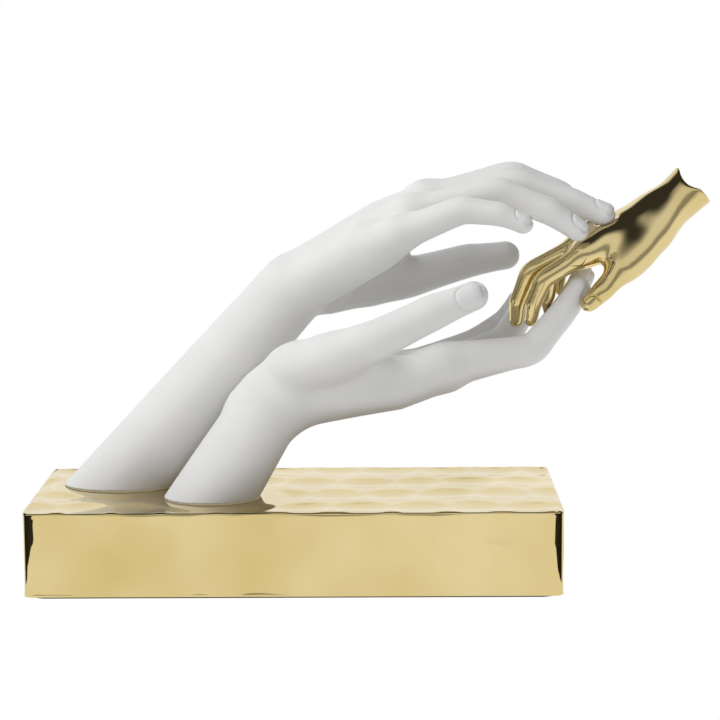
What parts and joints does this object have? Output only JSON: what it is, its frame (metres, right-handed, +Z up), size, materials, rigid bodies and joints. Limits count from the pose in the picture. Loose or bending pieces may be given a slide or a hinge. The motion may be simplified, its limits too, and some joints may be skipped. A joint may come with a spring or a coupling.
{
  "type": "ceramic hand sculpture",
  "caption": "Tabletop ceramic ornament: two matte white forearms rise from a hammered gold block, and their hands hold a child's gold hand.",
  "frame": {"origin": "middle of the felt's underside, on the surface the ornament stands on", "axes": "+X along the block towards the child's hand, +Y to the back, +Z up"},
  "size_m": [0.3349, 0.1191, 0.2059],
  "materials": {
    "gold_lustre": "glazed ceramic with a fired gold lustre, mirror-bright",
    "white_bisque": "matte white unglazed slip-cast ceramic",
    "felt": "dark pressed felt",
    "epoxy": "clear set epoxy"
  },
  "bodies": {
    "root": {"base_block": "gold_lustre", "base_felt": "felt", "rear_arm": "white_bisque", "front_arm": "white_bisque", "child_hand": "gold_lustre", "rear_arm_bond": "epoxy", "front_arm_bond": "epoxy"}
  },
  "joints": []
}
